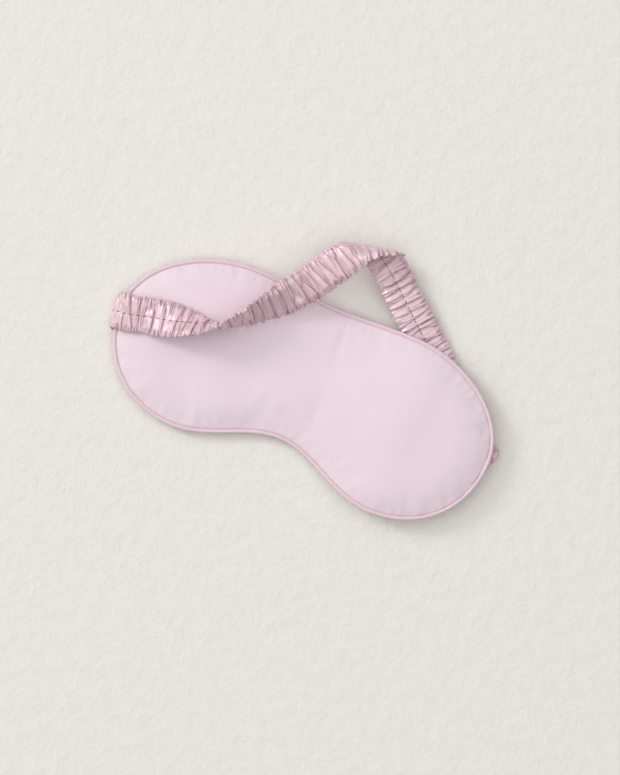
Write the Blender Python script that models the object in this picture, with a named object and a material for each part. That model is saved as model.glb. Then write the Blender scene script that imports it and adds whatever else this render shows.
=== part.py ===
"""Padded sleep eye mask with a gathered elastic strap, lying front side up.

Built in metres from dimensions in millimetres. The origin is on the flat
underside at the nose bridge, +X runs along the mask, +Y towards the brow and
+Z up. Every layer of the mask follows one outline; every part of the strap
follows one route.
"""
import math

import bmesh
import bpy
from mathutils import Vector

MM = 0.001

# ---- outline of the mask, outer edge of the piping, right half (mm) --------
# Each node: point, then the lengths of its handle back and its handle on.
BOTTOM_CENTRE = ((0.0, -38.5), (1.0, 0.0), 0.0, 19.0)
LOBE_BOTTOM = ((57.5, -55.2), (1.0, 0.0), 22.0, 27.5)
SIDE = ((107.5, -6.0), (0.0, 1.0), 30.0, 26.5)
LOBE_TOP = ((46.0, 40.8), (-1.0, 0.0), 30.0, 18.0)
TOP_CENTRE = ((0.0, 38.6), (-1.0, 0.0), 14.0, 0.0)
QUARTER_STEPS = 16          # points from a centre line to the side extreme
DENSE_STEPS = 200           # fine steps that the even spacing is read from

# ---- layers (mm) -----------------------------------------------------------
GAP = 0.3                   # clearance between neighbouring layers
CLOTH = 0.4                 # panel and lining thickness
RIM_Z = 4.6                 # height of the piping's centre
RIM_HALF = 0.9              # back panel's underside at its edge, below RIM_Z
CROWN_TOP = 8.6             # height of the front panel's crown
FRONT_EDGE_TOP = 5.5        # top of the front panel at its edge
PANEL_INSET = 2.7           # edge of the panels, from the outer edge
FILLING_INSET = 5.6         # edge of the lining and the wadding
SHOULDER_INSET = 12.0
CROWN_INSET = 24.0          # inside this the layers are level
LIFT = 5.0                  # right lobe's lift, where it lies on the strap
LIFT_FROM_X = 8.0
LIFT_TO_X = 62.0

# ---- piping (mm) -----------------------------------------------------------
PIPE_RADIUS = 1.2
PIPE_BORE = 0.85
PIPE_CORD_RADIUS = 0.42
FLANGE_HALF = 0.15          # half the thickness of the piping's sewn edge
FLANGE_REACH = 3.7          # from the cord's centre to the edge of the flange
RIM_THREAD_INSET = 4.3
RIM_THREAD_Z = 5.3
THREAD_RADIUS = 0.17

# ---- strap (mm) ------------------------------------------------------------
SLEEVE_HALF_WIDTH = 10.0
SLEEVE_WALL = 0.35
EDGE_WALL = 0.6             # sleeve wall at the two folded edges
ELASTIC_HALF_WIDTH = 7.5
ELASTIC_THICKNESS = 0.9
ELASTIC_CLEARANCE = 0.36    # between the elastic and the sleeve, at the least
STATIONS_PER_SPAN = 3
# Route of the strap's centre line from the left end to the right end.
# x, y, z; direction of the straight line across the band, towards its first
# edge (azimuth, elevation in degrees), which runs along the crease where the
# band is folded; thickness of the gathered sleeve.
ROUTE = (
    (-98.6, -11.4, 1.55, 93, 0, 1.7),       # left end, sewn under the rim
    (-102.5, -11.1, 1.55, 95, 0, 1.7),
    (-106.1, -10.8, 1.6, 96, 0, 1.8),
    (-108.0, -10.5, 2.5, 96, 0, 2.0),       # round the left edge
    (-108.8, -10.1, 4.5, 96, 0, 2.0),
    (-108.0, -9.7, 6.6, 96, 0, 2.1),
    (-105.4, -9.3, 8.0, 98, 0, 2.6),
    (-100.5, -8.6, 9.7, 101, 0, 3.2),       # over the left lobe, seam up
    (-90.0, -5.7, 11.1, 103, -2, 3.2),
    (-79.5, -3.4, 13.2, 103, -14, 3.2),
    (-70.0, -1.0, 16.8, 102, -39, 3.2),
    (-62.0, 1.2, 19.2, 100, -62, 3.2),      # twist: stands on its edge
    (-54.0, 4.3, 20.0, 110, -86, 3.2),
    (-47.0, 9.4, 19.9, -66, -76, 3.2),
    (-40.6, 16.0, 19.4, -52, -64, 3.2),
    (-33.6, 24.2, 18.2, -44, -46, 3.2),
    (-25.2, 34.6, 18.0, -37, -24, 3.2),
    (-16.8, 46.5, 18.6, -31, -6, 3.2),      # outer face up, past the brow
    (-11.0, 56.6, 19.0, -26, 4, 3.2),
    (-6.0, 65.0, 18.6, -14, 12, 3.2),
    (-2.6, 70.4, 17.2, 2, 16, 3.2),         # curls over and down
    (3.0, 73.8, 13.2, 12, 8, 3.2),
    (7.6, 73.8, 9.9, 21, -1, 3.2),
    (14.4, 70.4, 9.0, 33, -6, 3.2),         # comes back, seam up
    (24.0, 63.0, 8.2, 45, -9, 3.2),
    (34.4, 54.5, 6.6, 50, -8, 3.2),
    (44.7, 46.1, 4.7, 50, -2, 3.2),
    (55.5, 37.5, 3.2, 50, 0, 3.2),          # goes under the brow edge
    (67.0, 27.9, 2.3, 49, 0, 3.2),
    (80.0, 16.2, 2.0, 49, 0, 3.0),
    (91.0, 6.5, 1.9, 54, 0, 2.8),
    (99.0, -0.5, 1.9, 66, 0, 2.5),
    (104.3, -5.0, 2.0, 73, 0, 2.1),
    (106.4, -6.8, 2.6, 73, 0, 2.0),         # round under the right edge
    (107.0, -8.0, 4.1, 73, 0, 2.0),
    (106.0, -8.9, 5.7, 74, 0, 2.0),
    (102.8, -9.9, 6.5, 78, 0, 1.7),
    (97.8, -11.1, 6.55, 90, 0, 1.7),        # right end, sewn under the rim
)
# Lengths of the strap, as places on the route counted in its points.
LENGTHS = (
    ("left_end", 0.0, 11.0),
    ("left_arm", 12.0, 17.3),
    ("tip", 18.0, 22.6),
    ("right_arm", 23.2, 25.6),
    ("right_end", 26.4, 37.0),
)
SEAM_START = 1.5            # the seam thread stops short of the sewn ends
# Zigzag of thread across each sewn end.
TACK_HALF_LENGTH = 8.0
TACK_HALF_WIDTH = 1.3
TACK_STITCHES = 8

# ---- colours ---------------------------------------------------------------
FINISHES = {
    "front_satin": ((0.80, 0.63, 0.68), 0.42),
    "back_satin": ((0.76, 0.56, 0.62), 0.42),
    "piping_satin": ((0.78, 0.55, 0.61), 0.40),
    "sleeve_satin": ((0.75, 0.52, 0.59), 0.38),
    "lining_cloth": ((0.04, 0.04, 0.045), 0.85),
    "wadding": ((0.85, 0.84, 0.82), 0.95),
    "elastic": ((0.82, 0.80, 0.77), 0.80),
    "cotton_cord": ((0.84, 0.82, 0.78), 0.90),
    "thread": ((0.33, 0.16, 0.20), 0.60),
}


# ---- mesh helpers ----------------------------------------------------------
def clear_scene():
    for obj in list(bpy.data.objects):
        bpy.data.objects.remove(obj)


def finish(name):
    """The Principled material of one finish."""
    material = bpy.data.materials.get(name)
    if material is None:
        colour, roughness = FINISHES[name]
        material = bpy.data.materials.new(name)
        material.use_nodes = True
        shader = material.node_tree.nodes["Principled BSDF"]
        shader.inputs["Base Color"].default_value = (*colour, 1.0)
        shader.inputs["Roughness"].default_value = roughness
        shader.inputs["Metallic"].default_value = 0.0
    return material


def add_piece(name, points, faces, material):
    """One closed object from points in millimetres, its faces turned out."""
    mesh = bpy.data.meshes.new(name)
    mesh.from_pydata([Vector(point) * MM for point in points], [], faces)
    shell = bmesh.new()
    shell.from_mesh(mesh)
    bmesh.ops.recalc_face_normals(shell, faces=shell.faces)
    shell.to_mesh(mesh)
    shell.free()
    mesh.materials.append(finish(material))
    mesh.shade_smooth()
    mesh.set_sharp_from_angle(angle=math.radians(50))
    piece = bpy.data.objects.new(name, mesh)
    bpy.context.scene.collection.objects.link(piece)
    return piece


def bridge(first, second):
    """Faces between two closed rings of point numbers."""
    count = len(first)
    return [
        (first[i], first[(i + 1) % count], second[(i + 1) % count], second[i])
        for i in range(count)
    ]


def ring_numbers(ring, count):
    return [ring * count + i for i in range(count)]


# ---- outline ---------------------------------------------------------------
def arc_points(start, end):
    """Fine points of the cubic curve from one outline node to the next."""
    (p0, d0, _, reach_on) = start
    (p3, d3, reach_back, _) = end
    p0, p3 = Vector(p0), Vector(p3)
    p1 = p0 + Vector(d0) * reach_on
    p2 = p3 - Vector(d3) * reach_back
    points = []
    for step in range(DENSE_STEPS + 1):
        t = step / DENSE_STEPS
        u = 1.0 - t
        points.append(u**3 * p0 + 3 * u * u * t * p1 + 3 * u * t * t * p2 + t**3 * p3)
    return points


def even_points(points, steps):
    """Points at equal distances along a fine polyline, ends included."""
    travelled = [0.0]
    for a, b in zip(points, points[1:]):
        travelled.append(travelled[-1] + (b - a).length)
    picked = []
    at = 0
    for step in range(steps + 1):
        target = travelled[-1] * step / steps
        while at < len(points) - 2 and travelled[at + 1] < target:
            at += 1
        span = travelled[at + 1] - travelled[at]
        share = (target - travelled[at]) / span
        picked.append(points[at].lerp(points[at + 1], share))
    return picked


def outline():
    """The closed outline, anticlockwise from the bottom centre, with normals."""
    lower = arc_points(BOTTOM_CENTRE, LOBE_BOTTOM) + arc_points(LOBE_BOTTOM, SIDE)[1:]
    upper = arc_points(SIDE, LOBE_TOP) + arc_points(LOBE_TOP, TOP_CENTRE)[1:]
    right = even_points(lower, QUARTER_STEPS) + even_points(upper, QUARTER_STEPS)[1:]
    left = [Vector((-p.x, p.y)) for p in reversed(right[1:-1])]
    loop = right + left
    count = len(loop)
    inward = []
    for i in range(count):
        along = loop[(i + 1) % count] - loop[i - 1]
        inward.append(Vector((-along.y, along.x)).normalized())
    return loop, inward


OUTLINE, INWARD = outline()
RIM_COUNT = len(OUTLINE)


def smoothstep(t):
    t = min(max(t, 0.0), 1.0)
    return t * t * (3.0 - 2.0 * t)


def lift(x):
    """How far the mask is raised at x by the strap folded under its right lobe."""
    return LIFT * smoothstep((x - LIFT_FROM_X) / (LIFT_TO_X - LIFT_FROM_X))


def rim_point(i, inset, z):
    place = OUTLINE[i] + INWARD[i] * inset
    return (place.x, place.y, z + lift(place.x))


# ---- layers ----------------------------------------------------------------
def underside(inset):
    """Height of the back panel's underside: level inside, raised at the rim."""
    share = 1.0 - (inset - PANEL_INSET) / (CROWN_INSET - PANEL_INSET)
    return (RIM_Z - RIM_HALF) * max(share, 0.0) ** 0.9


def crown(inset):
    """Height of the front panel's top: domed from the rim to the crown."""
    share = 1.0 - (inset - PANEL_INSET) / (CROWN_INSET - PANEL_INSET)
    return CROWN_TOP - (CROWN_TOP - FRONT_EDGE_TOP) * max(share, 0.0) ** 2.6


def layer(name, insets, low, high, material):
    """A layer between two height curves, on rings of points at the insets."""
    points = []
    for height in (low, high):
        for inset in insets:
            points += [rim_point(i, inset, height(inset)) for i in range(RIM_COUNT)]
    rings = len(insets)
    faces = bridge(ring_numbers(0, RIM_COUNT), ring_numbers(rings, RIM_COUNT))
    for side in (0, rings):
        for ring in range(rings - 1):
            faces += bridge(
                ring_numbers(side + ring, RIM_COUNT),
                ring_numbers(side + ring + 1, RIM_COUNT),
            )
        inner = ring_numbers(side + rings - 1, RIM_COUNT)
        for i in range(-QUARTER_STEPS, QUARTER_STEPS):
            below = (inner[i], inner[i + 1])
            above = (inner[2 * QUARTER_STEPS - i - 1], inner[(2 * QUARTER_STEPS - i) % RIM_COUNT])
            faces.append(tuple(dict.fromkeys(below + above)))
    return add_piece(name, points, faces, material)


def add_layers():
    panel = (PANEL_INSET, FILLING_INSET, SHOULDER_INSET, CROWN_INSET)
    filling = panel[1:]
    lining_low = CLOTH + GAP
    wadding_low = lining_low + CLOTH + GAP
    wadding_high = CLOTH + GAP
    layer("back_panel", panel, underside, lambda s: underside(s) + CLOTH, "back_satin")
    layer(
        "blackout_lining", filling,
        lambda s: underside(s) + lining_low,
        lambda s: underside(s) + lining_low + CLOTH,
        "lining_cloth",
    )
    layer(
        "wadding", filling,
        lambda s: underside(s) + wadding_low,
        lambda s: crown(s) - wadding_high,
        "wadding",
    )
    layer("front_panel", panel, lambda s: crown(s) - CLOTH, crown, "front_satin")


# ---- rim -------------------------------------------------------------------
def rim_ring(name, profile, material):
    """A closed ring with one profile, given as inset and height pairs."""
    points = []
    for i in range(RIM_COUNT):
        points += [rim_point(i, inset, z) for inset, z in profile]
    count = len(profile)
    faces = []
    for i in range(RIM_COUNT):
        faces += bridge(ring_numbers(i, count), ring_numbers((i + 1) % RIM_COUNT, count))
    return add_piece(name, points, faces, material)


def round_profile(inset, z, radius, sides):
    angles = [2 * math.pi * k / sides for k in range(sides)]
    return [(inset + radius * math.cos(a), z + radius * math.sin(a)) for a in angles]


def cover_profile():
    """Cloth wrapped once round the cord, open by a slit above its sewn flange."""
    def at(radius, degrees):
        angle = math.radians(degrees)
        return (PIPE_RADIUS + radius * math.cos(angle), RIM_Z + radius * math.sin(angle))

    outer = [at(PIPE_RADIUS, degrees) for degrees in (55, 110, 165, 220, 275, 325)]
    edge = PIPE_RADIUS + FLANGE_REACH
    neck = PIPE_RADIUS + math.sqrt(PIPE_RADIUS**2 - FLANGE_HALF**2)
    throat = PIPE_RADIUS + math.sqrt(PIPE_BORE**2 - FLANGE_HALF**2)
    flange = [
        (neck, RIM_Z - FLANGE_HALF),
        (edge, RIM_Z - FLANGE_HALF),
        (edge, RIM_Z + FLANGE_HALF),
        (throat, RIM_Z + FLANGE_HALF),
    ]
    bore = [at(PIPE_BORE, degrees) for degrees in (325, 275, 220, 165, 110, 55)]
    return outer + flange + bore


def add_rim():
    rim_ring("piping_cover", cover_profile(), "piping_satin")
    rim_ring("piping_cord", round_profile(PIPE_RADIUS, RIM_Z, PIPE_CORD_RADIUS, 6), "cotton_cord")
    rim_ring(
        "rim_seam_thread",
        round_profile(RIM_THREAD_INSET, RIM_THREAD_Z, THREAD_RADIUS, 4),
        "thread",
    )


# ---- strap -----------------------------------------------------------------
def edge_direction(azimuth, elevation):
    a, e = math.radians(azimuth), math.radians(elevation)
    return (math.cos(e) * math.cos(a), math.cos(e) * math.sin(a), math.sin(e))


def blended_route(place):
    """Point, edge direction and thickness at a place counted in route points."""
    last = len(ROUTE) - 1
    span = min(int(place), last - 1)
    t = place - span
    rows = []
    for number in range(span - 1, span + 3):
        x, y, z, azimuth, elevation, thickness = ROUTE[min(max(number, 0), last)]
        rows.append((x, y, z, *edge_direction(azimuth, elevation), thickness))
    weights = (
        (-t + 2 * t**2 - t**3) / 2,
        (2 - 5 * t**2 + 3 * t**3) / 2,
        (t + 4 * t**2 - 3 * t**3) / 2,
        (-(t**2) + t**3) / 2,
    )
    return [sum(w * row[k] for w, row in zip(weights, rows)) for k in range(7)]


def station(place):
    """Centre, across, face normal and thickness of the strap at a place.

    Across is longer where the line runs slantwise, so the band keeps its width.
    """
    step = 0.02
    last = len(ROUTE) - 1
    behind = Vector(blended_route(max(place - step, 0.0))[:3])
    ahead = Vector(blended_route(min(place + step, last))[:3])
    heading = (ahead - behind).normalized()
    values = blended_route(place)
    across = Vector(values[3:6]).normalized()
    square = heading.cross(across)
    return Vector(values[:3]), across / square.length, square.normalized(), values[6]


def stations(first, last):
    count = max(2, round((last - first) * STATIONS_PER_SPAN))
    return [station(first + (last - first) * k / count) for k in range(count + 1)]


def band_profile(half_width, half_thickness):
    """Eight points round a flat band with rounded edges, as across and up."""
    flat = 0.85 * half_width
    upper = [(half_width, 0.0), (flat, half_thickness), (0.0, half_thickness)]
    upper.append((-flat, half_thickness))
    return upper + [(-w, -n) for w, n in upper]


def place_profile(stop, profile):
    centre, across, normal, _ = stop
    return [centre + across * w + normal * n for w, n in profile]


def add_sleeve(name, stops):
    """Gathered tube of cloth, open at both ends."""
    points = []
    for stop in stops:
        half = stop[3] / 2
        points += place_profile(stop, band_profile(SLEEVE_HALF_WIDTH, half))
        points += place_profile(
            stop, band_profile(SLEEVE_HALF_WIDTH - EDGE_WALL, half - SLEEVE_WALL)
        )
    outer = [ring_numbers(2 * k, 8) for k in range(len(stops))]
    inner = [ring_numbers(2 * k + 1, 8) for k in range(len(stops))]
    faces = bridge(outer[0], inner[0]) + bridge(outer[-1], inner[-1])
    for rings in (outer, inner):
        for first, second in zip(rings, rings[1:]):
            faces += bridge(first, second)
    add_piece(name, points, faces, "sleeve_satin")


def add_rod(name, stops, profile_at, material):
    """Solid rod along the stops, closed at both ends."""
    points = []
    for stop in stops:
        points += place_profile(stop, profile_at(stop))
    count = len(points) // len(stops)
    rings = [ring_numbers(k, count) for k in range(len(stops))]
    faces = [tuple(rings[0]), tuple(rings[-1])]
    for first, second in zip(rings, rings[1:]):
        faces += bridge(first, second)
    add_piece(name, points, faces, material)


def elastic_profile(stop):
    bore = stop[3] - 2 * SLEEVE_WALL
    half = min(ELASTIC_THICKNESS, bore - 2 * ELASTIC_CLEARANCE) / 2
    w = ELASTIC_HALF_WIDTH
    return [(w, half), (-w, half), (-w, -half), (w, -half)]


def seam_profile(stop):
    """Thread along the middle of the face that lies against the head."""
    n = stop[3] / 2 + GAP + THREAD_RADIUS
    r = THREAD_RADIUS
    return [(r, n), (0.0, n + r), (-r, n), (0.0, n - r)]


def add_strap():
    for name, first, last in LENGTHS:
        stops = stations(first, last)
        add_sleeve("strap_sleeve_" + name, stops)
        add_rod("strap_elastic_" + name, stops, elastic_profile, "elastic")
        sewn_first = max(first, SEAM_START)
        sewn_last = min(last, len(ROUTE) - 1 - SEAM_START)
        add_rod("strap_seam_" + name, stations(sewn_first, sewn_last), seam_profile, "thread")


def add_tack(name, place):
    """Zigzag stitches under a sewn end of the strap."""
    centre, across, normal, thickness = station(place)
    heading = across.cross(normal).normalized()
    down = Vector((0.0, 0.0, -1.0))
    middle = centre + down * (thickness / 2 + GAP + THREAD_RADIUS)
    r = THREAD_RADIUS
    points = []
    for k in range(TACK_STITCHES + 1):
        w = TACK_HALF_LENGTH * (2 * k / TACK_STITCHES - 1)
        side = TACK_HALF_WIDTH * (1 if k % 2 else -1)
        knot = middle + across * w + heading * side
        points += [knot + heading * r, knot + down * r, knot - heading * r, knot - down * r]
    rings = [ring_numbers(k, 4) for k in range(TACK_STITCHES + 1)]
    faces = [tuple(rings[0]), tuple(rings[-1])]
    for first, second in zip(rings, rings[1:]):
        faces += bridge(first, second)
    add_piece(name, points, faces, "thread")


def build():
    clear_scene()
    add_layers()
    add_rim()
    add_strap()
    add_tack("left_end_tack", 0.6)
    add_tack("right_end_tack", len(ROUTE) - 1.5)


build()
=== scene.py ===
"""Looks of the padded sleep eye mask with its gathered strap, around its frame.

Lengths are in millimetres until a mesh is made. The mask's layers follow one
outline, and everything in the strap follows one route, as the frame's do.
"""
import math

import bpy
import numpy as np
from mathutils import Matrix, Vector, geometry


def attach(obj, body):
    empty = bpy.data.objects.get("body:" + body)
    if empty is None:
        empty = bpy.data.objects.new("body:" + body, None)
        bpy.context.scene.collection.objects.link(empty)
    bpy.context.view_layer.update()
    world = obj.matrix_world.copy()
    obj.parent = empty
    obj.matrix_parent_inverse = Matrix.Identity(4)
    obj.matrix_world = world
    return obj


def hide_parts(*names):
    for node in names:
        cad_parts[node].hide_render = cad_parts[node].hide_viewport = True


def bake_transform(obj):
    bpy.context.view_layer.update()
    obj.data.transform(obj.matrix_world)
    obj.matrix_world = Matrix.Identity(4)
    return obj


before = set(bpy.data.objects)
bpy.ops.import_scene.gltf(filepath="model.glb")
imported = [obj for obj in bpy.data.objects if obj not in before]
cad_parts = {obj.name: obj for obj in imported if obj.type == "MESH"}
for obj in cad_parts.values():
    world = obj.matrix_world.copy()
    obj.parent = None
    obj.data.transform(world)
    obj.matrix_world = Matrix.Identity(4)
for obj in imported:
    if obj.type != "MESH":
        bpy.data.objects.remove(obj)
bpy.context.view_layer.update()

MM = 0.001

# ---- camera and light ------------------------------------------------------
TURN = 23.6                 # camera's turn about the vertical, degrees
AIM = (3.4, -6.4, 5.0)      # point at the middle of the view
CAMERA_HEIGHT = 1100.0      # above that point
VIEW_HEIGHT = 415.0         # of the plane through that point
SENSOR = 36.0
KEY_FROM = (-0.98, 0.19)    # where the main light comes from, seen from above
KEY_ELEVATION = 31.0
KEY_DISTANCE = 3.2          # metres
KEY_SIZE = 0.85
KEY_POWER = 29.0
FILL_LOW = 0.12             # strength of the fill from the sides and from above
FILL_HIGH = 1.40
FILL_FROM = 0.2            # cosine from the fill's middle where it starts
BACKDROP = 0.85             # how bright the room beyond the floor looks
FLOOR_SIZE = 6.0

# ---- mask: outline of the piping's outer edge, right half ------------------
# Each node: point, direction, then the lengths of its handle back and on.
BOTTOM_CENTRE = ((0.0, -38.5), (1.0, 0.0), 0.0, 19.0)
LOBE_BOTTOM = ((57.5, -55.2), (1.0, 0.0), 22.0, 27.5)
SIDE = ((107.5, -6.0), (0.0, 1.0), 30.0, 26.5)
LOBE_TOP = ((46.0, 40.8), (-1.0, 0.0), 30.0, 18.0)
TOP_CENTRE = ((0.0, 38.6), (-1.0, 0.0), 14.0, 0.0)
CURVE_STEPS = 200
RIM_STEPS = 520             # points round the rim

RIM_Z = 4.6                 # height of the piping's centre
RIM_HALF = 0.9
CROWN_TOP = 8.6
FRONT_EDGE_TOP = 5.5
PANEL_INSET = 2.7
CROWN_INSET = 24.0
LIFT = 5.0
LIFT_FROM_X = 8.0
LIFT_TO_X = 62.0
CLOTH = 0.35                # thickness of the satin
PIPE_RADIUS = 0.98
PIPE_STEPS = 26             # points round the piping
PIPE_FLANGE_INSET = 4.9
PIPE_SEAM_FROM = 1.85       # inset where the piping goes into its seam and its painted shade starts
PIPE_SEAM_OVER = 0.3
PIPE_FLANGE_HALF = 0.15
DITCH_INSET = 2.15          # where the panels go down beside the piping
DITCH_DEPTH = 1.0
DITCH_WIDTH = 0.55
PANEL_RINGS = (2.15, 2.27, 2.4, 2.55, 2.75, 3.1, 3.7, 4.6, 5.7, 7.0)
FILLING_RINGS = (5.6, 6.4, 7.4)
FILL_STEP = 2.1             # between points inside the rings
FLOOR_GAP = 0.02
SEWN_INSET = 2.8            # the panels are held down from here out
SETTLE_EASE = 0.007         # how much longer the cloth is than its seam
SETTLE_PRESSURE = 4.0
SETTLE_QUALITY = 6
SETTLE_FRAMES = 20
SETTLE_CAP = 0.6            # no point moves further

# ---- strap -----------------------------------------------------------------
# x, y, z; direction of the line across the band, towards its first edge
# (azimuth, elevation in degrees); thickness of the gathered sleeve.
ROUTE = (
    (-98.6, -11.4, 1.55, 93, 0, 1.7),       # left end, sewn under the rim
    (-102.5, -11.1, 1.55, 95, 0, 1.7),
    (-106.1, -10.8, 1.6, 96, 0, 1.8),
    (-108.0, -10.5, 2.5, 96, 0, 2.0),       # round the left edge
    (-108.8, -10.1, 4.5, 96, 0, 2.0),
    (-108.0, -9.7, 6.6, 96, 0, 2.1),
    (-105.4, -9.3, 8.0, 98, 0, 2.6),
    (-100.5, -8.6, 9.7, 101, 0, 3.2),       # over the left lobe, seam up
    (-90.0, -5.7, 11.1, 103, -2, 3.2),
    (-79.5, -3.4, 13.2, 103, -14, 3.2),
    (-70.0, -1.0, 16.8, 102, -39, 3.2),
    (-62.0, 1.2, 19.2, 100, -62, 3.2),      # twist: stands on its edge
    (-54.0, 4.3, 20.0, 110, -86, 3.2),
    (-47.0, 9.4, 19.9, -66, -76, 3.2),
    (-40.6, 16.0, 19.4, -52, -64, 3.2),
    (-33.6, 24.2, 18.2, -44, -46, 3.2),
    (-25.2, 34.6, 18.0, -37, -24, 3.2),
    (-16.8, 46.5, 18.6, -31, -6, 3.2),      # outer face up, past the brow
    (-11.0, 56.6, 19.0, -26, 4, 3.2),
    (-6.0, 65.0, 18.6, -14, 12, 3.2),
    (-2.6, 70.4, 17.2, 2, 16, 3.2),         # curls over and down
    (3.0, 73.8, 13.2, 12, 8, 3.2),
    (7.6, 73.8, 9.9, 21, -1, 3.2),
    (14.4, 70.4, 9.0, 33, -6, 3.2),         # comes back, seam up
    (24.0, 63.0, 8.2, 45, -9, 3.2),
    (34.4, 54.5, 6.6, 50, -8, 3.2),
    (44.7, 46.1, 4.7, 50, -2, 3.2),
    (55.5, 37.5, 3.2, 50, 0, 3.2),          # goes under the brow edge
    (67.0, 27.9, 2.3, 49, 0, 3.2),
    (80.0, 16.2, 2.0, 49, 0, 3.0),
    (91.0, 6.5, 1.9, 54, 0, 2.8),
    (99.0, -0.5, 1.9, 66, 0, 2.5),
    (104.3, -5.0, 2.0, 73, 0, 2.1),
    (106.4, -6.8, 2.6, 73, 0, 2.0),         # round under the right edge
    (107.0, -8.0, 4.1, 73, 0, 2.0),
    (106.0, -8.9, 5.7, 74, 0, 2.0),
    (102.8, -9.9, 6.5, 78, 0, 1.7),
    (97.8, -11.1, 6.55, 90, 0, 1.7),        # right end, sewn under the rim
)
PLACE_STEP = 0.01           # fine steps along the route, in route points
LAST_PLACE = len(ROUTE) - 1
# The strap's lengths, cut where each is wholly on one body: first and last
# place, the two bodies that it bends between, and where the bend starts and
# ends; then the parts of the frame that it stands for.
LENGTHS = {
    "left": (0.0, 14.6, "mask", "strap_arms", (-64, 1, 19), (-44, 12, 19), ("left_end",)),
    "middle": (14.6, 21.2, "strap_arms", "strap_loop", (-31, 27, 18), (-8, 61, 18),
               ("left_arm", "tip")),
    "leg": (21.2, 25.5, "strap_arms", "strap_loop", (32, 57, 5), (16, 70.5, 8),
            ("right_arm",)),
    "right": (25.5, LAST_PLACE, "mask", "strap_arms", (58, 36, 4), (45, 47, 4), ("right_end",)),
}
ROW_STEP = 0.36             # between rows of points along the strap
FACE_STEPS = 30             # points across one face of the strap
SLEEVE_HALF_WIDTH = 9.5
SLEEVE_CLOTH = 0.25
CREASE_FLOOR = 0.5          # least height of a crease above the band's middle
CREASE_SOFT = 0.12
CREASE_SHADE = 0.85         # how far the bottom of a crease takes the seam's painted shade tone
LEAN = 0.75                 # how far folds lean along the strap, to their height
EDGE_FROM = 0.55            # share of the half width where the ruffled edge starts
BROAD_HEIGHT = 0.95
BROAD_SWAY = 0.4            # how much slow swelling adds to that
BROAD_CREASE = (1.7, 0.14)  # depth, and half width as a share of the fold's
MIDDLE_CREASE = (0.7, 0.25)
MIDDLE_SHARES = (0.22, 0.50)    # how much of these folds shows, and more at the edge
SMALL_SHARES = (0.04, 0.16)
BROAD_AT_EDGE = 0.45        # how much of the broad folds the edge loses
FOLD_MEAN = 0.75            # taken off, so that folds go inwards too
INSIDE_BEND = 4.0           # how much a bend flattens the folds inside it
FLATTEST = 0.3
SEAM_HALF = 1.4             # half width of the dip along the seam
SEAM_FLAT = 0.6
SEAM_SINK = 0.30
FREE_THICKNESS = 3.2        # of the sleeve where nothing presses on it
CROWN_HEIGHT = 1.45         # of its surface there, above the band's middle
EDGE_HEIGHT = 0.3
EDGE_ROUND = 0.34           # share of the half width over which it rises from the edge
FRILL_HEIGHT = 1.6
FRILL_MEAN = 0.45
WIDE_REACH = 0.5            # how far the edges wander across the band, slowly and quickly
SHORT_REACH = 0.9
SHADED_CREASES = (0.2, 0.3)     # half widths of the shade in broad and middle creases
STRAP_GAP = 0.05            # least height of the strap above the floor
ELASTIC_HALF_WIDTH = 7.5
ELASTIC_HALF = 0.3
SEAM_AT = -0.6              # across the band
GATHER = 1.45               # its length, to the sleeve's gathered length
ELASTIC_SHARES = (-1.0, -0.97, -0.6, 0.0, 0.6, 0.97, 1.0)
STITCH = 3.0                # length of one stitch
STITCH_GAP = 0.7
STITCH_POINTS = 7
STITCH_SIDES = 6
THREAD = 0.19               # radius


# ---- small helpers ---------------------------------------------------------
def smoothstep(t):
    t = np.clip(t, 0.0, 1.0)
    return t * t * (3.0 - 2.0 * t)


def bump(x, centre, half):
    """1 at centre, falling smoothly to 0 at half away."""
    return 1.0 - smoothstep(np.abs(x - centre) / half)


def add_mesh(name, points, faces, material, uv=None):
    """One object from an array of points in millimetres and its faces."""
    mesh = bpy.data.meshes.new(name)
    mesh.from_pydata((np.asarray(points) * MM).tolist(), [], faces)
    mesh.validate()
    if uv is not None:
        layer = mesh.uv_layers.new(name="cloth")
        corner = np.empty(len(mesh.loops), np.int32)
        mesh.loops.foreach_get("vertex_index", corner)
        layer.data.foreach_set("uv", np.asarray(uv, np.float32)[corner].ravel())
    mesh.shade_smooth()
    mesh.materials.append(material)
    piece = bpy.data.objects.new(name, mesh)
    bpy.context.scene.collection.objects.link(piece)
    return piece


def mark_painted_shade(piece, share):
    """Store how much painted shade each point gets, from 0 to 1: in the rim seam or in a crease."""
    data = piece.data.attributes.new(PAINTED_SHADE_SHARE, "FLOAT", "POINT").data
    data.foreach_set("value", np.asarray(share, np.float32).ravel())


def grid_faces(rows, columns, start=0, flip=False, closed=True):
    """Faces of a grid of points, row by row, closed round its columns or not."""
    faces = []
    last = columns if closed else columns - 1
    for r in range(rows - 1):
        for c in range(last):
            n = (c + 1) % columns
            a, b = start + r * columns + c, start + r * columns + n
            quad = (a, b, b + columns, a + columns)
            faces.append(quad[::-1] if flip else quad)
    return faces


# ---- materials -------------------------------------------------------------
PAINTED_SHADE_SHARE = "seam"                 # name of the mesh's share, 0 to 1, of painted shade in a seam or crease
PAINTED_SEAM_SHADE = (0.84, 0.62, 0.70)      # of the satin there, in painted shade
PLEAT_STRETCH = (1.0, 0.09, 1.0)    # fine pleats run across the band
PLEAT_SCALE = 300.0
PLEAT_DEPTH = 20.0


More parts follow.
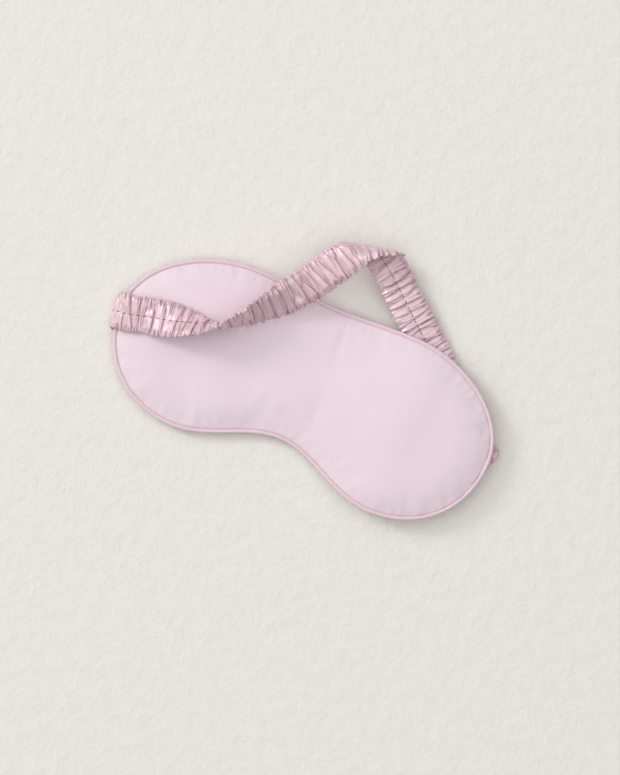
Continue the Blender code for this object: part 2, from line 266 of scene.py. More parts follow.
class Nodes:
    """Short way to write one material's nodes."""

    def __init__(self, name):
        self.material = bpy.data.materials.new(name)
        self.material.use_nodes = True
        self.tree = self.material.node_tree
        self.shader = self.tree.nodes["Principled BSDF"]

    def add(self, kind, settings=None, **inputs):
        node = self.tree.nodes.new("ShaderNode" + kind)
        for key, value in (settings or {}).items():
            setattr(node, key, value)
        for key, value in inputs.items():
            self.feed(node.inputs[key.replace("_", " ")], value)
        return node

    def feed(self, socket, value):
        if isinstance(value, bpy.types.NodeSocket):
            self.tree.links.new(value, socket)
        else:
            socket.default_value = value

    def maths(self, operation, a, b):
        node = self.add("Math", {"operation": operation})
        self.feed(node.inputs[0], a)
        self.feed(node.inputs[1], b)
        return node.outputs[0]

    def mix(self, share, a, b):
        node = self.add("Mix", {"data_type": "RGBA"})
        self.feed(node.inputs["Factor"], share)
        self.feed(node.inputs["A"], a)
        self.feed(node.inputs["B"], b)
        return node.outputs["Result"]

    def spread(self, value, low, high, to_low, to_high):
        node = self.add("MapRange")
        for key, number in zip(
            ("Value", "From Min", "From Max", "To Min", "To Max"),
            (value, low, high, to_low, to_high),
        ):
            self.feed(node.inputs[key], number)
        return node.outputs["Result"]

    def noise(self, at, scale, detail=3.0, rough=0.5):
        node = self.add("TexNoise", Vector=at, Scale=scale, Detail=detail, Roughness=rough)
        return node.outputs["Fac"]

    def wave(self, at, scale, direction):
        node = self.add(
            "TexWave", {"wave_type": "BANDS", "bands_direction": direction, "wave_profile": "SIN"},
            Vector=at, Scale=scale, Distortion=0.6, Detail=1.0,
        )
        return node.outputs["Fac"]

    def set(self, **values):
        for key, value in values.items():
            self.feed(self.shader.inputs[key.replace("_", " ")], value)

    def height(self, value, strength, distance):
        node = self.add("Bump", Strength=strength, Distance=distance, Height=value)
        return node.outputs["Normal"]


def shade(colour, factor):
    return (*[c * factor for c in colour[:3]], 1.0)


def satin(
    name, colour, deep, roughness, sheen=0.25, gloss=0.42, ior=1.5, across_band=False, seam=False
):
    """Polyester satin: floats of fine thread, soft sheen, faint uneven tone; painted shade in its
    pleats, seams and creases where asked.
    """
    n = Nodes(name)
    if across_band:
        at = n.add("UVMap", {"uv_map": "cloth"}).outputs[0]
        at = n.add("Mapping", Vector=at, Scale=(MM, MM, MM)).outputs[0]
    else:
        at = n.add("TexCoord").outputs["Object"]
    broad = n.noise(at, 26.0, 2.0)
    fine = n.noise(at, 900.0, 4.0, 0.6)
    relief = n.maths("MULTIPLY", fine, 0.8)
    tone = n.mix(n.spread(broad, 0.3, 0.7, 0.0, 1.0), colour, deep)
    warp = n.wave(at, 900.0, "X")
    weft = n.wave(at, 640.0, "Y")
    weave = n.maths("ADD", n.maths("MULTIPLY", warp, 0.65), n.maths("MULTIPLY", weft, 0.35))
    tone = n.mix(n.spread(weave, 0.0, 1.0, 0.10, 0.0), tone, shade(deep, 0.8))
    tone = n.mix(n.spread(fine, 0.35, 0.65, 0.06, 0.0), tone, shade(deep, 0.75))
    if across_band:
        pleated = n.add("Mapping", Vector=at, Scale=PLEAT_STRETCH).outputs[0]
        pleats = n.noise(pleated, PLEAT_SCALE, 3.0, 0.6)
        # Painted shade: the satin is darker in the valleys of its fine pleats; the same noise also
        # bumps the surface.
        tone = n.mix(n.spread(pleats, 0.32, 0.48, 0.7, 0.0), tone, shade(deep, 0.62))
        relief = n.maths("ADD", relief, n.maths("MULTIPLY", pleats, PLEAT_DEPTH))
    # Painted shade: darker by the mesh's stored share of painted shade, in the rim seam's ditch, on
    # the piping's inner side and in the strap's creases.
    if seam:
        sewn = n.add("Attribute", {"attribute_name": PAINTED_SHADE_SHARE}).outputs["Fac"]
        tone = n.mix(sewn, tone, (*[c * t for c, t in zip(deep, PAINTED_SEAM_SHADE)], 1.0))
    n.set(
        Base_Color=tone,
        Roughness=n.spread(fine, 0.3, 0.7, roughness - 0.05, roughness + 0.06),
        Sheen_Weight=sheen,
        Sheen_Roughness=0.45,
        Sheen_Tint=(1.0, 0.93, 0.96, 1.0),
        Specular_IOR_Level=gloss,
        IOR=ior,
        Normal=n.height(n.maths("ADD", weave, relief), 0.12, 0.00006),
    )
    return n.material


def thread_finish(name, colour):
    """Twisted thread: strands wound round it, with painted shade between them."""
    n = Nodes(name)
    at = n.add("TexCoord").outputs["Object"]
    twist = n.wave(at, 1500.0, "DIAGONAL")
    # Painted shade between the strands.
    tone = n.mix(twist, shade(colour, 0.6), colour)
    n.set(
        Base_Color=tone, Roughness=0.6, Sheen_Weight=0.2,
        Normal=n.height(twist, 0.4, 0.00005),
    )
    return n.material


def knitted(name, colour):
    """Knitted elastic: ribs along it, courses across it, with painted shade between them."""
    n = Nodes(name)
    at = n.add("UVMap", {"uv_map": "cloth"}).outputs[0]
    at = n.add("Mapping", Vector=at, Scale=(MM, MM, MM)).outputs[0]
    ribs = n.wave(at, 314.0, "Y")
    courses = n.wave(at, 450.0, "X")
    knit = n.maths("MULTIPLY", ribs, courses)
    # Painted shade between the ribs and courses.
    n.set(
        Base_Color=n.mix(knit, shade(colour, 0.72), colour),
        Roughness=0.8,
        Sheen_Weight=0.3,
        Normal=n.height(knit, 0.6, 0.0002),
    )
    return n.material


def fluffy(name, colour, scale, roughness):
    """Loose or woven filling: uneven tone and a soft uneven surface."""
    n = Nodes(name)
    at = n.add("TexCoord").outputs["Object"]
    grain = n.noise(at, scale, 6.0, 0.65)
    n.set(
        Base_Color=n.mix(grain, shade(colour, 0.8), colour),
        Roughness=roughness,
        Sheen_Weight=0.3,
        Normal=n.height(grain, 0.5, 0.0004),
    )
    return n.material


def paper(name, colour):
    """Pale handmade paper for the floor."""
    n = Nodes(name)
    at = n.add("TexCoord").outputs["Object"]
    pulp = n.noise(at, 130.0, 6.0, 0.6)
    fibre = n.noise(at, 420.0, 3.0, 0.6)
    relief = n.maths("ADD", pulp, n.maths("MULTIPLY", fibre, 0.35))
    n.set(
        Base_Color=n.mix(n.spread(pulp, 0.35, 0.65, 0.0, 1.0), shade(colour, 0.975), colour),
        Roughness=0.9,
        Specular_IOR_Level=0.2,
        Normal=n.height(relief, 0.6, 0.0014),
    )
    return n.material


FRONT = satin("front_satin", (0.81, 0.67, 0.74, 1), (0.785, 0.64, 0.71, 1), 0.46, seam=True)
BACK = satin("back_satin", (0.78, 0.63, 0.67, 1), (0.75, 0.59, 0.64, 1), 0.48, seam=True)
PIPING = satin("piping_satin", (0.78, 0.61, 0.68, 1), (0.74, 0.56, 0.63, 1), 0.40, seam=True)
SLEEVE = satin(
    "sleeve_satin", (0.81, 0.60, 0.66, 1), (0.66, 0.44, 0.51, 1), 0.31,
    sheen=0.2, gloss=1.0, ior=1.65, across_band=True, seam=True,
)
THREAD_FINISH = thread_finish("thread", (0.22, 0.10, 0.13, 1))
TACK_FINISH = thread_finish("tack_thread", (0.62, 0.40, 0.47, 1))
ELASTIC = knitted("elastic", (0.82, 0.80, 0.77, 1))
LINING = fluffy("lining_cloth", (0.045, 0.045, 0.05, 1), 1800.0, 0.9)
WADDING = fluffy("wadding", (0.88, 0.87, 0.85, 1), 420.0, 1.0)
COTTON = fluffy("cotton_cord", (0.84, 0.82, 0.78, 1), 1500.0, 0.95)
FLOOR = paper("floor_paper", (0.80, 0.775, 0.74, 1))


# ---- camera, light and floor -----------------------------------------------
def add_camera():
    data = bpy.data.cameras.new("camera")
    data.sensor_fit = "VERTICAL"
    data.sensor_height = SENSOR
    data.lens = SENSOR * CAMERA_HEIGHT / VIEW_HEIGHT
    camera = bpy.data.objects.new("camera", data)
    camera.location = Vector(AIM) * MM + Vector((0, 0, CAMERA_HEIGHT * MM))
    camera.rotation_euler = (0, 0, math.radians(TURN))
    bpy.context.scene.collection.objects.link(camera)
    bpy.context.scene.camera = camera


def add_light():
    elevation = math.radians(KEY_ELEVATION)
    flat = Vector(KEY_FROM).normalized() * math.cos(elevation)
    towards = Vector((flat.x, flat.y, math.sin(elevation)))
    data = bpy.data.lights.new("key", "AREA")
    data.shape = "SQUARE"
    data.size = KEY_SIZE
    data.energy = KEY_POWER
    data.color = (1.0, 0.99, 0.97)
    key = bpy.data.objects.new("key", data)
    key.location = towards * KEY_DISTANCE
    key.rotation_euler = towards.to_track_quat("Z", "Y").to_euler()
    bpy.context.scene.collection.objects.link(key)
    world = bpy.data.worlds.new("studio")
    world.use_nodes = True
    background = world.node_tree.nodes["Background"]
    background.inputs["Color"].default_value = (1.0, 0.995, 0.985, 1)
    nodes, links = world.node_tree.nodes, world.node_tree.links
    ray = nodes.new("ShaderNodeTexCoord")
    facing = nodes.new("ShaderNodeVectorMath")
    facing.operation = "DOT_PRODUCT"
    facing.inputs[1].default_value = (towards * 0.35 + Vector((0, 0, 1))).normalized()
    level = nodes.new("ShaderNodeMapRange")
    level.interpolation_type = "SMOOTHSTEP"
    level.inputs["From Min"].default_value = FILL_FROM
    level.inputs["To Min"].default_value = FILL_LOW
    level.inputs["To Max"].default_value = FILL_HIGH
    links.new(ray.outputs["Generated"], facing.inputs[0])
    links.new(facing.outputs["Value"], level.inputs["Value"])
    seen = nodes.new("ShaderNodeLightPath")
    shown = nodes.new("ShaderNodeMix")
    shown.inputs["B"].default_value = BACKDROP
    links.new(seen.outputs["Is Camera Ray"], shown.inputs["Factor"])
    links.new(level.outputs["Result"], shown.inputs["A"])
    links.new(shown.outputs["Result"], background.inputs["Strength"])
    bpy.context.scene.world = world
    bpy.context.scene.view_settings.view_transform = "Standard"


def add_floor():
    half = FLOOR_SIZE / 2
    mesh = bpy.data.meshes.new("floor")
    corners = [(-half, -half, 0), (half, -half, 0), (half, half, 0), (-half, half, 0)]
    mesh.from_pydata(corners, [], [(0, 1, 2, 3)])
    mesh.materials.append(FLOOR)
    floor = bpy.data.objects.new("floor", mesh)
    bpy.context.scene.collection.objects.link(floor)


# ---- outline of the mask ---------------------------------------------------
def curve_points(start, end):
    """Fine points of the cubic curve from one outline node to the next."""
    (p0, d0, _, reach_on) = start
    (p3, d3, reach_back, _) = end
    p0, p3 = np.array(p0), np.array(p3)
    p1 = p0 + np.array(d0) * reach_on
    p2 = p3 - np.array(d3) * reach_back
    t = np.linspace(0.0, 1.0, CURVE_STEPS)[:, None]
    u = 1.0 - t
    return u**3 * p0 + 3 * u * u * t * p1 + 3 * u * t * t * p2 + t**3 * p3


def outline():
    """Even points round the rim, anticlockwise, and the inward direction at each."""
    nodes = (BOTTOM_CENTRE, LOBE_BOTTOM, SIDE, LOBE_TOP, TOP_CENTRE)
    right = [curve_points(a, b)[:-1] for a, b in zip(nodes, nodes[1:])]
    right = np.concatenate(right + [np.array([TOP_CENTRE[0]])])
    loop = np.concatenate([right, right[-2::-1] * (-1, 1)])
    travelled = np.concatenate([[0.0], np.cumsum(np.linalg.norm(np.diff(loop, axis=0), axis=1))])
    even = np.linspace(0.0, travelled[-1], RIM_STEPS, endpoint=False)
    ring = np.stack([np.interp(even, travelled, loop[:, k]) for k in (0, 1)], axis=1)
    along = np.roll(ring, -1, axis=0) - np.roll(ring, 1, axis=0)
    along /= np.linalg.norm(along, axis=1)[:, None]
    inward = np.stack([-along[:, 1], along[:, 0]], axis=1)
    return ring, inward, even


RIM, INWARD, RIM_AT = outline()
RIM_LENGTH = float(RIM_AT[-1] + RIM_AT[1])


def lift(x):
    return LIFT * smoothstep((x - LIFT_FROM_X) / (LIFT_TO_X - LIFT_FROM_X))


# ---- mask: padded layers ---------------------------------------------------
class Waves:
    """Soft unevenness over the mask: a few long waves across each other."""

    def __init__(self, seed, pitch, waves=9):
        draw = np.random.default_rng(seed)
        heading = draw.uniform(0.0, 2 * math.pi, waves)
        length = 2 * math.pi / pitch * draw.uniform(0.6, 1.4, waves)
        self.x, self.y = np.cos(heading) * length, np.sin(heading) * length
        self.start = draw.uniform(0.0, 2 * math.pi, waves)

    def __call__(self, x, y):
        parts = [np.cos(a * x + b * y + c) for a, b, c in zip(self.x, self.y, self.start)]
        return sum(parts) / math.sqrt(len(parts))


class RimWaves:
    """Puckers along the rim seam: waves that close round the outline."""

    def __init__(self, seed, pitch, spread, waves=24):
        draw = np.random.default_rng(seed)
        turns = RIM_LENGTH / (pitch * (1 + spread * draw.normal(size=waves)))
        self.turns = np.round(turns)
        self.start = draw.uniform(0.0, 2 * math.pi, waves)

    def __call__(self, at):
        angle = 2 * math.pi * at / RIM_LENGTH
        parts = [np.cos(n * angle + c) for n, c in zip(self.turns, self.start)]
        return sum(parts) / math.sqrt(len(parts))


UNEVEN = Waves(4, 46.0)
PUCKER = RimWaves(6, 6.5, 0.3)
LONG_PUCKER = RimWaves(9, 17.0, 0.3)


def underside(inset):
    """Height of the back panel's underside: level inside, raised at the rim."""
    share = 1.0 - (inset - PANEL_INSET) / (CROWN_INSET - PANEL_INSET)
    return (RIM_Z - RIM_HALF) * np.clip(share, 0.0, 1.0) ** 0.9


def crown(inset):
    """Height of the front panel's top: domed from the rim to the crown."""
    share = 1.0 - (inset - PANEL_INSET) / (CROWN_INSET - PANEL_INSET)
    return CROWN_TOP - (CROWN_TOP - FRONT_EDGE_TOP) * np.clip(share, 0.0, 1.0) ** 2.6


def ditch(inset):
    """How far a panel dips into the seam beside the piping."""
    return DITCH_DEPTH * (1.0 - smoothstep((inset - DITCH_INSET) / DITCH_WIDTH))


def puckers(inset, at):
    near = np.exp(-np.maximum(inset - PANEL_INSET, 0.0) / 2.6)
    far = np.exp(-np.maximum(inset - PANEL_INSET, 0.0) / 8.0)
    return 0.06 * near * PUCKER(at) + 0.12 * far * LONG_PUCKER(at)


def panel_points(insets):
    """Points over the mask inside the first inset, with inset and distance round the rim."""
    flat = [RIM + INWARD * inset for inset in insets]
    known = [np.full(RIM_STEPS, inset) for inset in insets]
    at = [RIM_AT] * len(insets)
    low, high = RIM.min(axis=0), RIM.max(axis=0)
    rows = np.arange(low[1], high[1], FILL_STEP * math.sqrt(3) / 2)
    inner = []
    for number, y in enumerate(rows):
        x = np.arange(low[0] + FILL_STEP / 2 * (number % 2), high[0], FILL_STEP)
        inner.append(np.stack([x, np.full(len(x), y)], axis=1))
    inner = np.concatenate(inner)
    gaps = np.linalg.norm(inner[:, None] - RIM[None], axis=2)
    nearest = gaps.argmin(axis=1)
    inset = gaps.min(axis=1)
    inward = np.einsum("ij,ij->i", inner - RIM[nearest], INWARD[nearest])
    keep = (inset > insets[-1] + 0.45 * FILL_STEP) & (inward > 0)
    flat.append(inner[keep])
    known.append(inset[keep])
    at.append(RIM_AT[nearest[keep]])
    return np.concatenate(flat), np.concatenate(known), np.concatenate(at)


def panel_faces(flat, rings):
    """Quads between the rings, then triangles over everything inside them."""
    faces = grid_faces(rings, RIM_STEPS)
    start = (rings - 1) * RIM_STEPS
    inner = [Vector(p) for p in flat[start:].tolist()]
    edge = list(range(RIM_STEPS))
    found = geometry.delaunay_2d_cdt(inner, [], [edge], 1, 1e-6)
    source = [start + origin[0] for origin in found[3]]
    faces += [tuple(source[v] for v in face) for face in found[2]]
    return faces


def settled(points, faces, sewn):
    """How far each point of a sewn-down sheet moves as its filling swells.

    A short cloth simulation of the open sheet, held along its rim seam. The
    cloth is a little longer than the seam, so it puckers beside it.
    """
    mesh = bpy.data.meshes.new("settling")
    mesh.from_pydata((points * MM).tolist(), [], faces)
    piece = bpy.data.objects.new("settling", mesh)
    bpy.context.scene.collection.objects.link(piece)
    piece.vertex_groups.new(name="sewn").add(sewn, 1.0, "REPLACE")
    cloth = piece.modifiers.new("cloth", "CLOTH").settings
    cloth.quality = SETTLE_QUALITY
    cloth.vertex_group_mass = "sewn"
    cloth.shrink_min = -SETTLE_EASE
    cloth.use_pressure = True
    cloth.uniform_pressure_force = SETTLE_PRESSURE
    cloth.effector_weights.gravity = 0.0
    for number in range(1, SETTLE_FRAMES + 1):
        bpy.context.scene.frame_set(number)
    result = piece.evaluated_get(bpy.context.evaluated_depsgraph_get()).data
    after = np.empty(len(points) * 3)
    result.vertices.foreach_get("co", after)
    moved = after.reshape(-1, 3) / MM - points
    bpy.data.objects.remove(piece)
    bpy.context.scene.frame_set(1)
    length = np.linalg.norm(moved, axis=1)[:, None]
    return moved * SETTLE_CAP / (SETTLE_CAP + length)


def add_layer(name, insets, low, high, material, facing=0):
    """One layer of the mask between two surfaces, closed at its edge.

    A facing of 1 or -1 marks an outer panel, which settles over its filling.
    """
    flat, inset, at = panel_points(insets)
    faces = panel_faces(flat, len(insets))
    rise = lift(flat[:, 0])
    count = len(flat)
    top = np.column_stack([flat, high(inset, at, flat) + rise])
    bottom = np.column_stack([flat, low(inset, at, flat) + rise])
    if facing:
        outer = top if facing > 0 else bottom
        turned = faces if facing > 0 else [face[::-1] for face in faces]
        moved = settled(outer, turned, np.flatnonzero(inset < SEWN_INSET).tolist())
        top, bottom = top + moved, bottom + moved
        bottom[:, 2] = np.maximum(bottom[:, 2], FLOOR_GAP)
        top[:, 2] = np.maximum(top[:, 2], bottom[:, 2] + CLOTH)
    closed = faces + [tuple(count + v for v in face[::-1]) for face in faces]
    for i in range(RIM_STEPS):
        n = (i + 1) % RIM_STEPS
        closed.append((n, i, count + i, count + n))
    uv = np.concatenate([flat, flat])
    piece = add_mesh(name, np.concatenate([top, bottom]), closed, material, uv=uv)
    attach(piece, "mask")
    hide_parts(name.removesuffix("_cloth").removesuffix("_pad"))
    if facing:
        # Painted shade in the ditch beside the piping, on the outer panels.
        share = 1.0 - smoothstep((inset - DITCH_INSET) / DITCH_WIDTH)
        mark_painted_shade(piece, np.concatenate([share, share]))
    return piece


def front_top(inset, at, flat):
    soft = 0.32 * UNEVEN(flat[:, 0], flat[:, 1]) * smoothstep((inset - PANEL_INSET) / 14.0)
    return crown(inset) - ditch(inset) + puckers(inset, at) + soft


def back_bottom(inset, at, flat):
    soft = 0.25 * UNEVEN(flat[:, 1], flat[:, 0]) * smoothstep((inset - PANEL_INSET) / 14.0)
    level = underside(inset) + 0.8 * ditch(inset) - puckers(inset, at + 9.0) + soft
    return np.maximum(level, FLOOR_GAP)


def raised(surface, by):
    return lambda inset, at, flat: surface(inset, at, flat) + by


def add_layers(piping):
    gap = 0.3
    front = add_layer(
        "front_panel_cloth", PANEL_RINGS, raised(front_top, -CLOTH), front_top,
        FRONT, facing=1,
    )
    back = add_layer(
        "back_panel_cloth", PANEL_RINGS, back_bottom, raised(back_bottom, CLOTH),
        BACK, facing=-1,
    )
    lining = add_layer(
        "blackout_lining_cloth", FILLING_RINGS,
        raised(back_bottom, CLOTH + gap), raised(back_bottom, 2 * CLOTH + gap),
        LINING,
    )
    wadding = add_layer(
        "wadding_pad", FILLING_RINGS,
        raised(back_bottom, 2 * CLOTH + 2 * gap), raised(front_top, -CLOTH - 2 * gap),
        WADDING,
    )


# ---- mask: piping ----------------------------------------------------------
def add_piping():
    """Cloth round a cord, with its sewn flange between the panels."""
    angles = np.radians(np.linspace(40.0, 320.0, PIPE_STEPS))
    along, around = np.meshgrid(RIM_AT, angles, indexing="ij")
    ripple = 0.05 * RimWaves(14, 2.3, 0.25)(along + 0.9 * PIPE_RADIUS * around)
    radius = PIPE_RADIUS + ripple
    inset = 1.2 + radius * np.cos(around)
    height = RIM_Z + radius * np.sin(around)
    flange_inset = np.array([PIPE_FLANGE_INSET, PIPE_FLANGE_INSET])
    flange_height = RIM_Z + np.array([-PIPE_FLANGE_HALF, PIPE_FLANGE_HALF])
    inset = np.concatenate([inset, np.broadcast_to(flange_inset, (RIM_STEPS, 2))], axis=1)
    height = np.concatenate([height, np.broadcast_to(flange_height, (RIM_STEPS, 2))], axis=1)
    flat = RIM[:, None] + INWARD[:, None] * inset[..., None]
    points = np.concatenate([flat, (height + lift(flat[..., 0]))[..., None]], axis=2)
    columns = points.shape[1]
    points = points.reshape(-1, 3)
    faces = grid_faces(RIM_STEPS, columns)
    last = (RIM_STEPS - 1) * columns
    for c in range(columns):
        n = (c + 1) % columns
        faces.append((last + c, last + n, n, c))
    side = np.arange(columns) / columns * 2 * math.pi * PIPE_RADIUS
    uv = np.column_stack([np.repeat(RIM_AT, columns), np.tile(side, RIM_STEPS)])
    piping = add_mesh("piping", points, faces, PIPING, uv=uv)
    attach(piping, "mask")
    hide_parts("piping_cover")
    # Painted shade on the piping's inner side, where it goes into the seam.
    mark_painted_shade(piping, smoothstep((inset.ravel() - PIPE_SEAM_FROM) / PIPE_SEAM_OVER))
    return piping


# ---- strap: its route as fine tables ---------------------------------------
def route_rows():
    rows = []
    for x, y, z, azimuth, elevation, thickness in ROUTE:
        a, e = math.radians(azimuth), math.radians(elevation)
        edge = (math.cos(e) * math.cos(a), math.cos(e) * math.sin(a), math.sin(e))
        rows.append((x, y, z, *edge, thickness))
    return np.array(rows)


def smooth(values, steps):
    """Running average over this many steps either way, three times."""
    window = np.ones(2 * steps + 1) / (2 * steps + 1)
    for _ in range(3):
        values = np.convolve(np.pad(values, steps, mode="edge"), window, mode="valid")
    return values


class Route:
    """The strap's centre line, face directions and thickness, by distance."""

    def __init__(self):
        rows = route_rows()
        places = np.arange(0.0, LAST_PLACE + PLACE_STEP / 2, PLACE_STEP)
        span = np.minimum(places.astype(int), LAST_PLACE - 1)
        t = (places - span)[:, None]
        weights = (
            (-t + 2 * t**2 - t**3) / 2,
            (2 - 5 * t**2 + 3 * t**3) / 2,
            (t + 4 * t**2 - 3 * t**3) / 2,
            (-(t**2) + t**3) / 2,
        )
        values = sum(
            w * rows[np.clip(span + k - 1, 0, LAST_PLACE)] for k, w in enumerate(weights)
        )
        self.places = places
        self.centre = values[:, :3]
        heading = np.gradient(self.centre, axis=0)
        heading /= np.linalg.norm(heading, axis=1)[:, None]
        across = values[:, 3:6] / np.linalg.norm(values[:, 3:6], axis=1)[:, None]
        square = np.cross(heading, across)
        length = np.linalg.norm(square, axis=1)[:, None]
        self.across = across / length
        self.normal = square / length
        self.thickness = values[:, 6]
        steps = np.linalg.norm(np.diff(self.centre, axis=0), axis=1)
        self.at = np.concatenate([[0.0], np.cumsum(steps)])
        even = np.arange(0.0, self.at[-1], 0.25)
        shear = np.einsum("ij,ij->i", self.across, heading)
        shear = np.interp(even, self.at, shear)
        self.even = even
        self.slant = smooth(np.clip(shear, -0.7, 0.7), 14)
        turn = np.gradient(heading, self.at + 1e-9 * np.arange(len(self.at)), axis=0)
        bend = np.einsum("ij,ij->i", turn, self.normal)
        self.bend = smooth(np.interp(even, self.at, bend), 6)

    def distance(self, place):
        return float(np.interp(place, self.places, self.at))

    def read(self, table, at):
        return np.stack([np.interp(at, self.at, table[:, k]) for k in range(3)], axis=-1)

    def point(self, along, across, out):
        """Points on the band: distance along it, across it and out of its face."""
        middle = along - across * np.interp(along, self.even, self.slant)
        return (
            self.read(self.centre, middle)
            + self.read(self.across, middle) * across[..., None]
            + self.read(self.normal, middle) * out[..., None]
        )


STRAP = Route()


# ---- strap: folds of the gathered cloth ------------------------------------
class Folds:
    """Creases that run round the band: a sum of waves that closes round it."""

    def __init__(self, seed, pitch, spread, slant, waves=44):
        draw = np.random.default_rng(seed)
        self.along = 2 * math.pi / pitch * (1 + spread * draw.normal(size=waves))
        self.around = np.round(draw.normal(0.0, slant, waves))
        self.start = draw.uniform(0.0, 2 * math.pi, waves)

    def __call__(self, along, around, skew=0.3):
        """Distance from the nearest crease, 0 to 1 on the crest, and how strong the fold is."""
        total = np.zeros(along.shape, complex)
        for a, b, c in zip(self.along, self.around, self.start):
            total += np.exp(1j * (a * along + b * around + c))
        strong = smoothstep(np.abs(total) / math.sqrt(len(self.along)) / 0.75)
        angle = np.angle(total)
        angle = angle + skew * np.sin(angle)
        return np.abs(angle) / math.pi, strong


BROAD = Folds(3, 5.4, 0.30, 0.7)
MIDDLE = Folds(5, 2.5, 0.28, 1.3)
SMALL = Folds(8, 1.35, 0.30, 2.0)
FRILL = Folds(13, 2.0, 0.24, 0.6)
SWAY = Folds(21, 17.0, 0.35, 0.8)


def puff(rise):
    """Round top of a fold."""
    return 1.0 - (1.0 - rise) ** 2.0


def crease(rise, half):
    """Narrow slot between two folds; half is its half width as a share of the fold's."""
    return np.exp(-((rise / half) ** 1.5))


def face_columns():
    """Across and face of each column of points round the band."""
    half = np.sin(np.linspace(-1.0, 1.0, FACE_STEPS + 1)[:-1] * math.pi / 2)
    across = np.concatenate([half, -half]) * SLEEVE_HALF_WIDTH
    side = np.concatenate([-np.ones(FACE_STEPS), np.ones(FACE_STEPS)])
    return across, side


def loose(along):
    """1 where the strap is free to puff up, less where it is held flat."""
    free_from, free_to = STRAP.distance(4.5), STRAP.distance(27.0)
    inside = smoothstep((along - free_from) / 5.0) * smoothstep((free_to - along) / 10.0)
    ends = np.minimum(along, STRAP.at[-1] - along)
    return (0.55 + 0.45 * inside) * (0.25 + 0.75 * smoothstep(ends / 9.0))


def frilly(along):
    """How much the two edges ruffle: less along the leg that comes back."""
    leg_from, leg_to = STRAP.distance(21.5), STRAP.distance(27.5)
    leg = smoothstep((along - leg_from) / 8.0) * smoothstep((leg_to - along) / 8.0)
    return 1.0 - 0.5 * leg


def turn_of(across, side):
    """Angle round the band of a point on one face, which folds run continuously over."""
    half = math.pi * (SLEEVE_HALF_WIDTH + side * -across) / (2 * SLEEVE_HALF_WIDTH)
    return np.where(side > 0, math.pi + half, half)


def sleeve_surface(along, across, side, inner=0.0):
    """Points of the sleeve's cloth; inner is how far below the outer surface."""
    share = np.abs(across) / SLEEVE_HALF_WIDTH
    around = turn_of(across, side)
    first = np.sign(across)
    free = loose(along)
    edge = smoothstep((share - EDGE_FROM) / (1.0 - EDGE_FROM))
    bend = np.interp(along, STRAP.even, STRAP.bend)
    tight = np.clip(1.0 - INSIDE_BEND * np.maximum(bend * side, 0.0), FLATTEST, 1.0)
    sway, _ = SWAY(along, around)
    rise, strong = BROAD(along, around)
    depth, half = BROAD_CREASE
    broad = strong * (BROAD_HEIGHT + BROAD_SWAY * sway) * puff(rise)
    broad = broad - depth * strong * crease(rise, half)
    rise, strong = MIDDLE(along, around)
    depth, half = MIDDLE_CREASE
    middle = strong * (puff(rise) - depth * crease(rise, half))
    rise, strong = SMALL(along, around)
    small = strong * puff(rise)
    fold = (
        (1.0 - BROAD_AT_EDGE * edge) * broad
        + (MIDDLE_SHARES[0] + MIDDLE_SHARES[1] * edge) * middle
        + (SMALL_SHARES[0] + SMALL_SHARES[1] * edge) * small
        - FOLD_MEAN
    )
    seam = np.where(side > 0, bump(across, SEAM_AT, SEAM_HALF), 0.0)
    fold = fold * (1.0 - SEAM_FLAT * seam) - SEAM_SINK * seam
    fold = fold * free * tight
    base = np.interp(along, STRAP.at, STRAP.thickness) / FREE_THICKNESS * CROWN_HEIGHT
    rounding = np.sqrt(np.clip(1.0 - share**14, 0.0, 1.0))
    fading = np.sqrt(np.clip(1.0 - share**6, 0.0, 1.0))
    swell = smoothstep((1.0 - share) / EDGE_ROUND)
    crown = (EDGE_HEIGHT + (base - EDGE_HEIGHT) * swell) * rounding
    rise, strong = FRILL(along, first * 1.3)
    frill = (strong * puff(rise) - FRILL_MEAN) * edge * free * frilly(along)
    height = crown + fold * fading
    floor = CREASE_FLOOR * rounding
    height = floor + CREASE_SOFT * np.logaddexp(0.0, (height - floor) / CREASE_SOFT)
    out = side * (height - inner * fading) + FRILL_HEIGHT * frill
    rise, strong = SWAY(along, first)
    wide = strong * puff(rise) - 0.5
    reach = WIDE_REACH * wide * free + SHORT_REACH * (middle - 0.4) * free
    moved = across + first * (reach * edge - inner * smoothstep((share - 0.8) / 0.2))
    lean = LEAN * fold
    return STRAP.point(along + lean, moved, out)


def shaded_share(along, across, side):
    """How much painted shade each point of the sleeve gets from lying deep in a crease, from 0 to 1.
    """
    around = turn_of(across, side)
    rise, strong = BROAD(along, around)
    share = strong * crease(rise, SHADED_CREASES[0])
    rise, strong = MIDDLE(along, around)
    share = share + 0.6 * strong * crease(rise, SHADED_CREASES[1])
    return CREASE_SHADE * np.clip(share, 0.0, 1.0)


def sleeve_rows(first, last):
    start, end = STRAP.distance(first), STRAP.distance(last)
    return np.linspace(start, end, max(2, round((end - start) / ROW_STEP)) + 1)


def add_sleeve(name, first, last):
    """One length of the gathered sleeve: an outer and an inner face, joined at its ends."""
    rows = sleeve_rows(first, last)
    along, across = np.meshgrid(rows, face_columns()[0], indexing="ij")
    side = np.broadcast_to(face_columns()[1], along.shape)
    outer = sleeve_surface(along, across, side)
    inner = sleeve_surface(along, across, side, inner=SLEEVE_CLOTH)
    points = np.concatenate([outer.reshape(-1, 3), inner.reshape(-1, 3)])
    points[:, 2] = np.maximum(points[:, 2], STRAP_GAP)
    columns, count = along.shape[1], along.size
    faces = grid_faces(len(rows), columns, flip=True)
    faces += grid_faces(len(rows), columns, start=count)
    for c in range(columns):
        n = (c + 1) % columns
        faces.append((c, n, count + n, count + c))
        a = count - columns
        faces.append((a + n, a + c, a + count + c, a + count + n))
    cut = turn_of(across, side) * 2 * SLEEVE_HALF_WIDTH / math.pi
    uv = np.stack([along.ravel() * GATHER, cut.ravel()], axis=1)
    sleeve = add_mesh(name, points, faces, SLEEVE, uv=np.concatenate([uv, uv]))
    # Painted shade in the sleeve's creases.
    mark_painted_shade(sleeve, np.tile(shaded_share(along, across, side).ravel(), 2))
    return sleeve


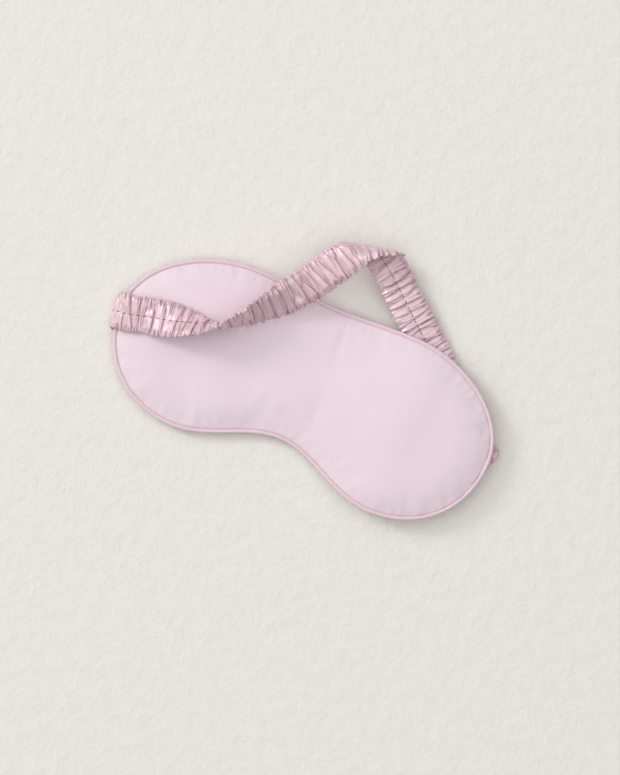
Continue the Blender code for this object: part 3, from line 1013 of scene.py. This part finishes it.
def add_elastic(name, first, last):
    """One length of the flat elastic inside the sleeve."""
    rows = sleeve_rows(first, last)[::3]
    rows[-1] = STRAP.distance(last)
    across = ELASTIC_HALF_WIDTH * np.concatenate([ELASTIC_SHARES, -np.array(ELASTIC_SHARES)])
    out = ELASTIC_HALF * np.concatenate([-np.ones(len(ELASTIC_SHARES)), np.ones(len(ELASTIC_SHARES))])
    out[[0, len(ELASTIC_SHARES) - 1, len(ELASTIC_SHARES), -1]] *= 0.4
    along, across = np.meshgrid(rows, across, indexing="ij")
    out = np.broadcast_to(out, along.shape)
    points = STRAP.point(along, across, out).reshape(-1, 3)
    columns = along.shape[1]
    faces = grid_faces(len(rows), columns, flip=True)
    faces.append(tuple(range(columns)))
    faces.append(tuple(range(len(points) - 1, len(points) - columns - 1, -1)))
    uv = np.stack([along.ravel(), across.ravel()], axis=1)
    return add_mesh(name, points, faces, ELASTIC, uv=uv)


def add_stitching(name, first, last):
    """Stitches along the strap's seam, each a short bowed length of thread."""
    pitch = STITCH + STITCH_GAP
    start, end = STRAP.distance(first), STRAP.distance(last)
    numbers = np.arange(math.ceil(start / pitch), math.floor(end / pitch - STITCH / pitch) + 1)
    share = np.linspace(0.0, 1.0, STITCH_POINTS)
    along = (numbers[:, None] * pitch + share * STITCH).ravel()
    sunk = 0.35 * np.abs(2 * share - 1) ** 4 - 0.18
    inner = np.tile(sunk, len(numbers))
    middle = sleeve_surface(along, np.full(along.shape, SEAM_AT), np.ones(along.shape), inner)
    sideways = STRAP.read(STRAP.across, along)
    upward = STRAP.read(STRAP.normal, along)
    angles = np.arange(STITCH_SIDES) / STITCH_SIDES * 2 * math.pi
    ring = THREAD * (
        np.cos(angles)[:, None] * sideways[:, None] + np.sin(angles)[:, None] * upward[:, None]
    )
    points = (middle[:, None] + ring).reshape(-1, 3)
    faces = []
    size = STITCH_POINTS * STITCH_SIDES
    for number in range(len(numbers)):
        at = number * size
        faces += grid_faces(STITCH_POINTS, STITCH_SIDES, start=at, flip=True)
        faces.append(tuple(range(at, at + STITCH_SIDES)))
        faces.append(tuple(range(at + size - 1, at + size - STITCH_SIDES - 1, -1)))
    return add_mesh(name, points, faces, THREAD_FINISH)


def add_strap():
    for label, (first, last, body_a, body_b, start, end, nodes) in LENGTHS.items():
        sleeve = add_sleeve("sleeve_" + label, first, last)
        elastic = add_elastic("elastic_" + label, first, last)
        stitching = add_stitching("stitching_" + label, max(first, 1.5), min(last, LAST_PLACE - 1.5))
        start, end = [c * MM for c in start], [c * MM for c in end]
        for piece, part in ((sleeve, "sleeve"), (elastic, "elastic"), (stitching, "seam")):
            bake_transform(piece)
            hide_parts(*(f"strap_{part}_{n}" for n in nodes))


def finish_frame_nodes():
    """The frame's own pieces that stay: piping cord, rim thread and end tacks."""
    finishes = {
        "piping_cord": COTTON,
        "rim_seam_thread": TACK_FINISH,
        "left_end_tack": TACK_FINISH,
        "right_end_tack": TACK_FINISH,
    }
    for name, material in finishes.items():
        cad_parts[name].data.materials[0] = material


add_camera()
add_light()
add_floor()
add_layers(add_piping())
add_strap()
finish_frame_nodes()
